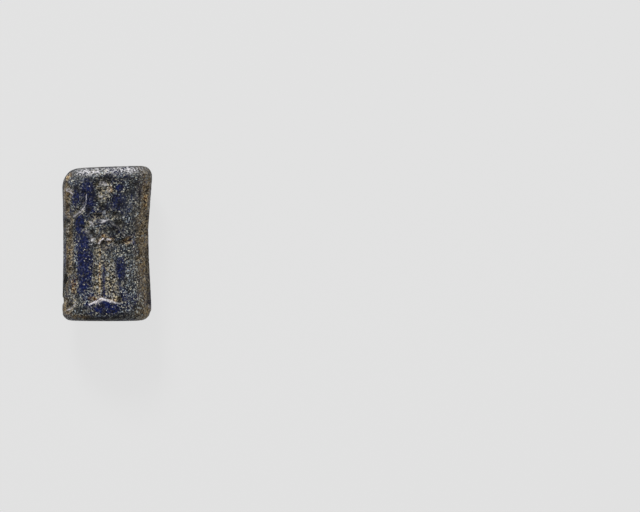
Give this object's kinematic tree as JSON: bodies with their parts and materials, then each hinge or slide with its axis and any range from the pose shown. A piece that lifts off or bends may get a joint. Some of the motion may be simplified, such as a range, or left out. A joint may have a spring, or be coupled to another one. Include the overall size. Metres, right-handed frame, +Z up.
{
  "type": "cylinder seal",
  "caption": "Small waisted stone roller, drilled lengthwise for a cord and cut in intaglio all round with a frieze of standing and striding figures; lies on its side.",
  "frame": {"origin": "on the ground under the middle of the seal as it lies on its side", "axes": "+Y along the seal, towards the heads of the figures; +Z up, through the front figure; +X to the right of that figure as seen from above"},
  "size_m": [0.0134, 0.023, 0.0132],
  "materials": {
    "worn_lapis": "worn dark blue lapis lazuli with pale flecks, dusty cuts and brown patina"
  },
  "bodies": {
    "root": {"cylinder_seal": "worn_lapis"}
  },
  "joints": []
}
